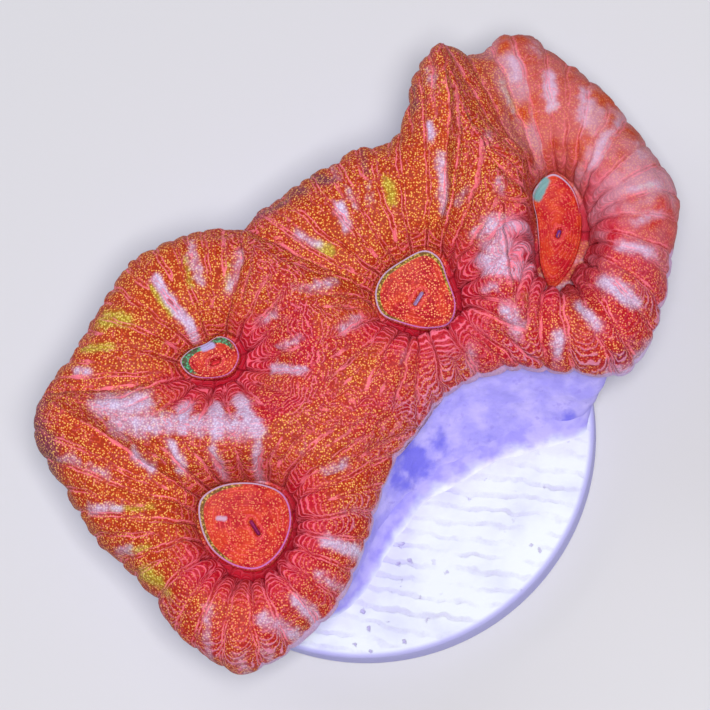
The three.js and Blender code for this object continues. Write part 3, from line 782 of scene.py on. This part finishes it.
# Patches on the flesh, as [from x, from y, to x, to y, half width, strength] in plan: pale ones, where
# the white edges of the skeleton show through thin skin, then yellow-green ones and dusky ones.
PALE_PATCHES = [
    (-12.3, 8.2, -10, 4.7, 0.3, 0.95), (-10.1, 10.3, -9.3, 7.7, 0.34, 0.5),
    (-6.9, 9.8, -7.6, 7.3, 0.34, 0.5), (-17.3, 2.2, -16.4, 2.2, 0.34, 0.6),
    (-15.2, -0.2, -13.1, -0.3, 0.87, 0.8), (-10.2, -0.4, -10.1, -2, 0.42, 0.95),
    (-8.3, -0.6, -7.9, -2.3, 0.45, 1), (-6.7, -0.1, -5.5, -2.3, 0.45, 1.1),
    (-14.4, -1.4, -5.9, -1.9, 0.7, 0.66), (-12.6, -1.6, -6, -2.4, 0.5, 0.5),
    (-13.5, -3.1, -12.3, -4.2, 0.34, 0.7), (-11, -2.9, -10.3, -4.2, 0.34, 0.7),
    (-8.2, -3.1, -7.9, -4.3, 0.34, 0.6), (-5.5, -3.2, -5.8, -4.5, 0.34, 0.7),
    (-16.5, -4.1, -15.3, -4.4, 0.4, 0.4), (-18.2, -3.1, -17.3, -3.6, 0.34, 0.45),
    (-4.7, 2.1, -2.7, 1.6, 0.36, 0.7), (-4.1, 3.4, -2.9, 3.6, 0.3, 0.5),
    (-5.5, 5.1, -4.3, 5.5, 0.34, 0.5), (-3.2, 7, -1.7, 6.9, 0.34, 0.35),
    (-2.5, -2.8, -2.7, -3.5, 0.27, 0.3), (-0.5, 12.5, 0, 11.2, 0.34, 0.75),
    (-1.2, 15.8, -0.6, 14.3, 0.34, 0.3), (0.1, 13.5, 0.6, 12.4, 0.27, 0.4),
    (1.4, 13.6, 1.6, 12.8, 0.34, 0.35), (-3.1, 10.6, -1.7, 10.1, 0.34, 0.55),
    (-2.2, 7, -0.9, 7.4, 0.34, 0.5), (-0.2, 4.3, 0.6, 4.8, 0.4, 0.55),
    (5.4, 17.6, 5.5, 16.8, 0.27, 0.8), (6.1, 15.5, 6.1, 12, 0.34, 0.6),
    (3.7, 2.8, 3.6, 2.1, 0.27, 0.35), (7.8, 2.9, 7.9, 2, 0.4, 0.45), (8.5, 8.5, 9.8, 8.4, 0.4, 0.7),
    (9.2, 8, 10.6, 7.6, 0.55, 1), (10.6, 7.6, 11.1, 7.9, 0.4, 0.85),
    (9.3, 10.3, 11.2, 10.2, 0.6, 0.75), (9.4, 9, 10.8, 9, 0.8, 0.65),
    (10.1, 10.3, 10.3, 7.4, 0.3, 0.75), (8.4, 10.1, 9.3, 9.7, 0.4, 0.5),
    (11.2, 10.7, 11.4, 9.9, 0.34, 0.45), (9.9, 13.1, 10, 12.5, 0.34, 0.5),
    (7.2, 12.2, 7.9, 12.7, 0.4, 0.35), (9.1, 6.6, 9.8, 6.6, 0.34, 0.5),
    (9, 16.6, 9.2, 15.7, 0.34, 0.3), (5.2, 21.5, 5.6, 20.6, 0.4, 0.4),
    (10.3, 5.2, 10.8, 4.2, 0.47, 0.7), (-16.4, -6.5, -14.4, -6.7, 0.34, 0.6),
    (-14.5, -9.2, -13.6, -9.2, 0.34, 0.5), (-1.3, -9, 0.7, -9.6, 0.4, 0.85),
    (-0.3, -7.3, 0.9, -7, 0.27, 0.3), (-1.3, -4.6, -0.1, -4.1, 0.34, 0.5),
    (-1.7, -11.1, -0.6, -11.8, 0.34, 0.5), (-3.3, -12.6, -2.2, -13.6, 0.4, 0.75),
    (-5.2, -13.7, -3.4, -14.7, 0.47, 0.65), (-8.7, -13, -8.8, -15.6, 0.34, 0.45),
    (-7, -15.9, -6.7, -16.4, 0.4, 0.4), (-5.4, -15.5, -5.2, -15.8, 0.4, 0.4),
    (10.6, 22.4, 10.6, 21.4, 0.47, 0.6), (12.9, 21.5, 13, 19.4, 0.4, 0.8),
    (11.9, 23.8, 12.1, 23, 0.47, 0.35), (15.1, 20.4, 14.8, 18.4, 0.4, 0.6),
    (17.2, 18.6, 15.5, 15.4, 0.3, 0.55), (9.6, 20.8, 10.8, 18.4, 0.27, 0.4),
    (18.5, 16.9, 18.6, 16.1, 0.34, 0.4), (18, 13.5, 19.7, 14, 0.34, 0.5),
    (18.1, 11.2, 19.7, 11.9, 0.34, 0.5), (17.4, 9.6, 18.9, 9.2, 0.44, 0.75),
    (16.2, 7.2, 18, 5.9, 0.47, 0.95), (14.7, 5.5, 15.8, 4.2, 0.4, 0.75),
    (13.3, 3.7, 13.1, 3, 0.4, 0.7), (16.2, 1.7, 17.8, 2.1, 0.35, 0.7),
    (17.8, 2.1, 19.0, 4.0, 0.3, 0.8),
]
LIME_PATCHES = [
    (-12.5, 7.5, -11.2, 5.9, 0.23, 0.8), (-10.3, 9.4, -9.9, 7.6, 0.27, 0.5),
    (-7.7, 9, -7.8, 7.4, 0.27, 0.4), (-15.4, 5.5, -14.3, 5.5, 0.54, 0.9),
    (-16.7, 3.6, -15.1, 3.6, 0.27, 0.8), (-14.9, 0.8, -14.4, 0, 0.4, 0.3),
    (-12, -0.7, -11.6, -1.4, 0.4, 0.3), (-14.9, -6.7, -12.4, -6.7, 0.27, 0.6),
    (-13.7, -9.2, -12.6, -9.2, 0.27, 0.6), (-12.8, -10.5, -11.9, -11.1, 0.4, 0.8),
    (-11.7, -11.6, -11.1, -12.1, 0.34, 0.6), (-1.6, 10, -1, 9.6, 0.34, 0.95),
    (2.6, 14.1, 2.9, 12.7, 0.27, 0.75), (9.6, 20.8, 10.7, 18.9, 0.23, 0.4),
    (12.9, 20.5, 13.1, 19.3, 0.27, 0.4), (6.3, 20.5, 6.7, 19.2, 0.54, 0.35),
    (18.5, 13.7, 19.2, 13.8, 0.27, 0.35), (11, 6.2, 11.4, 5.7, 0.34, 0.35),
]
DUSKY_PATCHES = [
    (-20.3, 0.5, -19, -3.5, 1.0, 0.7), (-2.5, 15, -1, 14.2, 0.4, 0.6), (0.8, 16.2, 1.4, 14.6, 0.35, 0.5),
    (-6, 12.5, -3, 13.8, 0.5, 0.6), (4.2, 20.5, 4.6, 19, 0.5, 0.5), (18.5, 3.2, 16.5, 2.6, 0.7, 0.5),
]


def patch_mask(patches, places):
    """Strength of a list of patches at places in plan, each fading out over its half width."""
    mask = np.zeros(len(places))
    for x0, y0, x1, y1, half_width, strength in patches:
        gap = distance_to(np.array([[x0, y0], [x1, y1]]), places)
        mask = np.maximum(mask, strength * np.exp(-((gap / half_width / 1.25) ** 2)))
    return mask


off_lower_right = smooth_step(rest[:, 0] - rest[:, 1], 9.5, 6)
seam_wrinkle = np.max([
    strength * np.exp(-((from_seam[name] / 1.9) ** 2)) * off_lower_right ** (name == "cd")
    for name, strength in WRINKLED_SEAMS.items()
], axis=0)
near_mouth = np.exp(-((facts["to_rim"] / 2.2) ** 4)) * np.clip(2.0 * facts["facing"] - 0.35, 0.03, 1)
mouth_fringe = 0.55 * np.exp(-(((facts["to_rim"] - 0.6) / 0.45) ** 4))
from_edge = distance_to(edge_closed[::2], rest) * (facts["climb"] <= 1.0)
near_edge = np.exp(-((from_edge / 1.7) ** 2)) * np.clip(1.3 * facts["facing"] - 0.2, 0.1, 1)
lip_line = np.vstack([
    arc_points["b"][-9 * ACROSS_RIB:-1], arc_points["c_lower"][:-1], arc_points["d"][:7 * ACROSS_RIB],
])
lip_near = np.exp(-((distance_to(lip_line, rest) / 0.8) ** 4))
flesh_marks = {
    "from_mouth": 0.7 * facts["to_rim"] + 0.3 * facts["run"],
    "climb": facts["climb"] * smooth_step(facts["to_seam"], 0.3, 1.5),
    "rib": facts["rib"],
    "fold": fold,
    "near_groove": np.maximum(near_groove, 0.6 * crest_line),
    "trench": facts["trench"],
    "to_seam": facts["to_seam"],
    "mouth_wrinkle": np.maximum(near_mouth, mouth_fringe) * (1 - 0.5 * smooth_side),
    "seam_wrinkle": seam_wrinkle * (1 - 0.5 * smooth_side),
    "edge_lip": lip_near * np.exp(-((from_edge / 0.05) ** 2)),
    "from_edge": from_edge,
    "edge_wrinkle": near_edge * (0.35 + 0.65 * (facts["rib"] > 0.4)) * (1 - 0.7 * smooth_side),
    "grain": (1 - 0.75 * smooth_side) * (1 - 0.85 * near_mouth),
    "soft": smooth_side,
    "red": np.clip(0.8 * near_mouth + 0.35 * seam_wrinkle + 0.8 * facts["facing"] - 0.15, 0, 1),
    "pale": patch_mask(PALE_PATCHES, rest),
    "lime": patch_mask(LIME_PATCHES, rest),
    "dusky": patch_mask(DUSKY_PATCHES, rest),
}
for name, values in flesh_marks.items():
    store(flesh_piece, name, values)

GRAIN_PITCH = 0.15
WRINKLE_PITCH = 0.3


def granular(finish, ground, dots, strength):
    """A ground colour closely set with bright raised grains, with painted shade darkening the gaps
    between them.
    """
    grain = finish.cells(GRAIN_PITCH, randomness=0.9)
    dot = grain.ramp(0.2, 0.44, 1.0, 0.0) * strength
    gap = grain.ramp(0.46, 0.62) * strength
    colour = (gap * 0.55).blend(ground, ground.scaled((0.35, 0.15, 0.2)))
    return (dot * 0.9).blend(colour, dots), dot


skin = Finish(flesh_piece, "red_granular_flesh", Roughness=0.55, Specular_IOR_Level=0.15)
mark = {name: skin.attribute(name) for name in flesh_marks}
broken = skin.clouds(1.3)
fine = skin.clouds(0.45, 2.0)
redness = (mark["red"] + (skin.clouds(2.6) - 0.5) * 0.9).ramp(0.2, 0.85)
streak = (mark["rib"].ramp(0.2, 0.7) * 0.7 + 0.3) * mark["soft"] * skin.clouds(2.2).ramp(0.3, 0.6)
pale = (mark["pale"] + (fine - 0.5) * 0.7).ramp(0.1, 0.85) * (mark["grain"] * 0.35 + 0.6)
lime = (mark["lime"] + (fine - 0.5) * 0.7).ramp(0.12, 0.8) * 0.7
dusky = (mark["dusky"] + (broken - 0.5) * 0.8).ramp(0.2, 0.7) * 0.7
ground = layered(redness.blend((0.52, 0.045, 0.005), (0.58, 0.007, 0.028)), [
    (mark["rib"].ramp(0.6, 1.0) * 0.3, (0.62, 0.1, 0.02)),
    (streak * 0.85, (0.6, 0.32, 0.42)),
    (dusky, (0.16, 0.06, 0.12)),
    (lime, (0.52, 0.5, 0.03)),
    (pale, (0.64, 0.54, 0.78)),
])
dot_colour = redness.blend((0.98, 0.56, 0.13), (0.96, 0.36, 0.15))
dot_colour = layered(dot_colour, [(lime, (0.85, 0.85, 0.2)), (pale, (0.88, 0.8, 0.86))])
flesh_colour, dot = granular(skin, ground, dot_colour, mark["grain"] * (1 - pale * 0.45))

bend = (1 - mark["fold"]) * 0.75 + (skin.clouds(0.9, 2.0) - 0.5) * 0.6
unbroken = broken.ramp(0.38, 0.5)
wrinkle_line, wrinkle_furrow_shade = 0.0, 0.0
for distance, strength in (
    (mark["from_mouth"] - bend, mark["mouth_wrinkle"] * (unbroken * 0.2 + 0.8)),
    (mark["to_seam"] + bend * 1.6, mark["seam_wrinkle"] * skin.clouds(0.8).ramp(0.42, 0.54)),
    (mark["from_edge"] - bend, mark["edge_wrinkle"] * unbroken * 0.7),
):
    wave = (distance * (2 * math.pi / WRINKLE_PITCH)).sine()
    wrinkle_line = wave.ramp(0.15, 0.85) * strength + wrinkle_line
    wrinkle_furrow_shade = wave.ramp(-0.9, -0.1, 1.0, 0.0) * strength + wrinkle_furrow_shade
worm = (skin.clouds(0.42, 1.0) - 0.5).size().ramp(0.0, 0.035, 1.0, 0.0)
worm = worm * (mark["seam_wrinkle"] * 0.45 + skin.clouds(1.8, 2.0).ramp(0.4, 0.6) * 0.5)
groove_value = mark["near_groove"] + (fine - 0.5) * 0.6
groove_break = (skin.clouds(1.2).ramp(0.4, 0.6) * 0.85 + 0.15) * (1 - mark["soft"] * 0.4)
groove_pink = groove_value.ramp(0.45, 0.62) * groove_value.ramp(0.72, 0.9, 1.0, 0.0) * groove_break
in_trench = (mark["trench"] + (fine - 0.5) * 0.5).ramp(0.2, 0.9) * 0.85
under_edge = (mark["climb"] + (skin.clouds(1.1, 4.0) - 0.5) * 0.22).ramp(1.06, 1.25)
edge_lip = (mark["edge_lip"] + (fine - 0.5) * 0.9).ramp(0.35, 0.85)
skin.paint(flesh_colour, [
    (worm * 0.8, (0.92, 0.2, 0.28)),
    # Painted shade: the furrows between the raised wrinkle lines are painted dark crimson.
    (wrinkle_furrow_shade * 0.8, (0.38, 0.003, 0.018)),
    (wrinkle_line * 0.9, mark["edge_wrinkle"].blend((0.98, 0.17, 0.26), (0.86, 0.34, 0.55))),
    (groove_pink * 0.8, (0.95, 0.2, 0.28)),
    # Painted shade: the bottoms of the grooves and the sunken crest line are painted dark crimson.
    (groove_value.ramp(0.82, 1.05) * groove_break * 0.8, (0.4, 0.008, 0.012)),
    (in_trench, redness.blend((0.5, 0.008, 0.006), (0.44, 0.001, 0.02))),
    (under_edge * 0.8, (0.5, 0.34, 0.76)),
    (edge_lip * 0.65, (0.72, 0.55, 0.92)),
])
skin.bump(dot * 0.35 + wrinkle_line * 0.9 + worm * 0.35, 0.07)

# Mouth discs: the smooth round of flesh in the floor of each polyp, with a fine raised lip round it,
# a band of dark and green speckles inside the lip and the slit of the mouth in the middle.
MOUTH_RINGS = 46
MOUTH_AROUND = 240
MOUTH_RISE = 0.28
MOUTH_ROOT = 1.0
LIP_HEIGHT, BOWL_DEPTH, SLIT_DEPTH, SLIT_LIPS = 0.14, 0.35, 0.5, 0.07
MOUTHS = {
    "a": {
        "at": (-8.75, 3.1), "turn": 20, "half": 0.2, "slit": (0.7, 0.05, 0.07),
        "speckle": (125, 100, 1.0, 0.11), "speck": (0.02, 0.5, 0.26), "grainy": 1.0,
        "spot": (-9.45, 3.95, -8.95, 4.15, 0.2, 1.0), "spot_colour": (0.45, 0.42, 0.78),
    },
    "b": {
        "at": (-6.2, -7.6), "turn": -58, "half": 0.45, "slit": (0.3, 0.02, 0.14),
        "speckle": (175, 85, 0.9, 0.035), "speck": (0.6, 0.5, 0.12), "grainy": 0.6,
        "spot": (-8.5, -7.0, -8.1, -7.05, 0.2, 0.75), "spot_colour": (0.6, 0.42, 0.6),
    },
    "c": {
        "at": (4.3, 6.9), "turn": 58, "half": 0.4, "slit": (0.42, 0.3, 0.55),
        "speckle": (120, 130, 1.0, 0.04), "speck": (0.62, 0.55, 0.1), "grainy": 1.0,
        "spot": (3.0, 9.0, 3.4, 9.1, 0.1, 0.0), "spot_colour": (0.5, 0.4, 0.5),
    },
    "d": {
        "at": (13.1, 11.8), "turn": 70, "half": 0.15, "slit": (0.2, 0.07, 0.42),
        "speckle": (110, 40, 0.3, 0.04), "speck": (0.3, 0.5, 0.3), "grainy": 0.35,
        "spot": (11.8, 14.2, 12.3, 15.2, 0.3, 0.9), "spot_colour": (0.12, 0.4, 0.42),
    },
}
for key, facts_of in MOUTHS.items():
    rim_line, centre, floor = (cells[key][name] for name in ("rim_line", "centre", "floor"))
    mouth_at, ahead = np.array(facts_of["at"]), math.radians(facts_of["turn"])
    shares = np.repeat(1 - np.arange(MOUTH_RINGS) / MOUTH_RINGS, MOUTH_AROUND)
    flat = centre + (np.tile(rim_line[:-1], (MOUTH_RINGS, 1)) - centre) * (shares * 0.985)[:, None]
    offset = flat - mouth_at
    length = offset[:, 0] * math.cos(ahead) + offset[:, 1] * math.sin(ahead)
    width = offset[:, 1] * math.cos(ahead) - offset[:, 0] * math.sin(ahead)
    from_slit = np.hypot(np.maximum(np.abs(length) - facts_of["half"], 0), width)
    slit = np.exp(-((from_slit / 0.13) ** 2))
    mouth_lips = np.exp(-(((from_slit - 0.36) / 0.14) ** 2))
    height = floor + MOUTH_RISE + LIP_HEIGHT * np.exp(-(((shares - 0.96) / 0.03) ** 2))
    height = height - BOWL_DEPTH * (1 - shares**2) - SLIT_DEPTH * slit + SLIT_LIPS * mouth_lips
    mouth_points = np.column_stack([flat, height])
    mouth_points[:, 2] += 0.05 * drift(mouth_points, 0.9, 3.0) * (shares < 0.94)
    base = np.column_stack([flat[:MOUTH_AROUND], np.full(MOUTH_AROUND, floor - MOUTH_ROOT)])
    mouth_rings = np.vstack([base, mouth_points]).reshape(MOUTH_RINGS + 1, -1, 3)
    middles = [(*centre, floor - MOUTH_ROOT), (*centre, mouth_rings[-1, :, 2].mean())]
    mouth = stack_piece(f"mouth_disc_{key}", mouth_rings, middles, "coral")[0]
    turn_of = np.degrees(np.arctan2(*(flat - centre).T[::-1]))
    middle_turn, half_turn, speckled, band_width = facts_of["speckle"]
    off_turn = (turn_of - middle_turn + 180) % 360 - 180
    band = np.exp(-((off_turn / half_turn) ** 4)) * speckled
    mouth_marks = {
        "share": shares,
        "speckle": band * np.exp(-(((shares - 0.95 + band_width) / band_width) ** 4)),
        "slit": slit,
        "lips": mouth_lips,
        "spot": patch_mask([facts_of["spot"]], flat),
        "upper": 0.5 + 0.5 * np.cos(np.radians(turn_of - 135)),
    }
    for name, values in mouth_marks.items():
        store(mouth, name, np.concatenate([np.zeros(MOUTH_AROUND), values, [0, 0]]))
    disc_skin = Finish(mouth, f"mouth_flesh_{key}", Roughness=0.5, Specular_IOR_Level=0.2)
    mark = {name: disc_skin.attribute(name) for name in mouth_marks}
    cloud = disc_skin.clouds(0.9).ramp(0.36, 0.64)
    ground = cloud.blend((0.52, 0.008, 0.022), (0.64, 0.05, 0.018))
    grainy = cloud.ramp(0.0, 1.0, facts_of["grainy"], 0.65 * facts_of["grainy"])
    colour, dot = granular(disc_skin, ground, (1.0, 0.5, 0.2), grainy)
    rings = (mark["share"] * 55 + disc_skin.clouds(0.4, 2.0) * 3.0).sine().ramp(0.3, 0.95)
    band = (mark["speckle"] + (disc_skin.clouds(0.4) - 0.5) * 0.5).ramp(0.25, 0.55)
    speck_gap = tuple(0.2 * part for part in facts_of["speck"])
    speck = disc_skin.cells(0.16, randomness=0.9).ramp(0.3, 0.55).blend(facts_of["speck"], speck_gap)
    lip_line = (mark["share"] - 0.965).size().ramp(0.008, 0.026, 1.0, 0.0)
    if key == "d":
        lip_line = lip_line * mark["upper"].ramp(0.3, 0.8)
    spot = (mark["spot"] + (disc_skin.clouds(0.3) - 0.5) * 0.5).ramp(0.25, 0.75)
    disc_skin.paint(colour, [
        (rings * disc_skin.clouds(0.8).ramp(0.4, 0.6) * 0.5, (0.85, 0.1, 0.12)),
        (band * 0.85, speck),
        (lip_line * 0.85, mark["upper"].ramp(0.2, 0.8).blend((0.5, 0.16, 0.52), (0.5, 0.44, 0.66))),
        (mark["lips"].ramp(0.3, 0.9) * 0.35, (0.85, 0.1, 0.14)),
        (spot * 0.9, facts_of["spot_colour"]),
        (mark["slit"].ramp(0.3, 0.6) * 0.95, facts_of["slit"]),
    ])
    disc_skin.bump(dot * 0.4 + rings * 0.3, 0.06)

# The floor, the light and the view, which are no part of the object. The camera looks down on the
# colony from a little to the lower right of straight above it.
FLOOR_SIZE = 2.0
floor_mesh = bpy.data.meshes.new("floor")
half = FLOOR_SIZE / 2
floor_corners = [(-half, -half, 0), (half, -half, 0), (half, half, 0), (-half, half, 0)]
floor_mesh.from_pydata(floor_corners, [], [(0, 1, 2, 3)])
floor_sheet = bpy.data.objects.new("floor", floor_mesh)
bpy.context.scene.collection.objects.link(floor_sheet)
Finish(floor_sheet, "pale_floor", Base_Color=(0.62, 0.62, 0.64, 1.0), Roughness=0.9)

world = bpy.data.worlds.new("studio")
world.use_nodes = True
world.node_tree.nodes["Background"].inputs["Color"].default_value = (0.85, 0.87, 1.0, 1.0)
world.node_tree.nodes["Background"].inputs["Strength"].default_value = 0.19
bpy.context.scene.world = world
bpy.context.scene.view_settings.view_transform = "Standard"


def soft_light(name, place, size, power, colour):
    lamp = bpy.data.lights.new(name, "AREA")
    lamp.size = size
    lamp.energy = power
    lamp.color = colour
    light = bpy.data.objects.new(name, lamp)
    light.location = place
    light.rotation_euler = Vector(place).to_track_quat("Z", "Y").to_euler()
    bpy.context.scene.collection.objects.link(light)


soft_light("key_light", (0.05, -0.07, 0.32), 0.1, 1.05, (1.0, 0.98, 0.97))
soft_light("fill_light", (-0.2, 0.2, 0.2), 0.2, 0.35, (0.86, 0.88, 1.0))

VIEW_TARGET = Vector((-0.075, 3.911, 8.0)) * MM
VIEW_DISTANCE = 0.2
VIEW_TILT = math.radians(15)
VIEW_SIDE = math.radians(27)
FOCAL_PIXELS = 3105
FRAME_PIXELS = 710
back = Vector((
    math.sin(VIEW_SIDE) * math.sin(VIEW_TILT),
    -math.cos(VIEW_SIDE) * math.sin(VIEW_TILT),
    math.cos(VIEW_TILT),
))
up = (Vector((0, 1, 0)) - back * back.y).normalized()
right = up.cross(back)
camera_data = bpy.data.cameras.new("camera")
camera_data.sensor_width = 36
camera_data.lens = camera_data.sensor_width * FOCAL_PIXELS / FRAME_PIXELS
camera_data.clip_start = 0.01
camera = bpy.data.objects.new("camera", camera_data)
turned = Matrix((right, up, back)).transposed().to_4x4()
camera.matrix_world = Matrix.Translation(VIEW_TARGET + back * VIEW_DISTANCE) @ turned
bpy.context.scene.collection.objects.link(camera)
bpy.context.scene.camera = camera
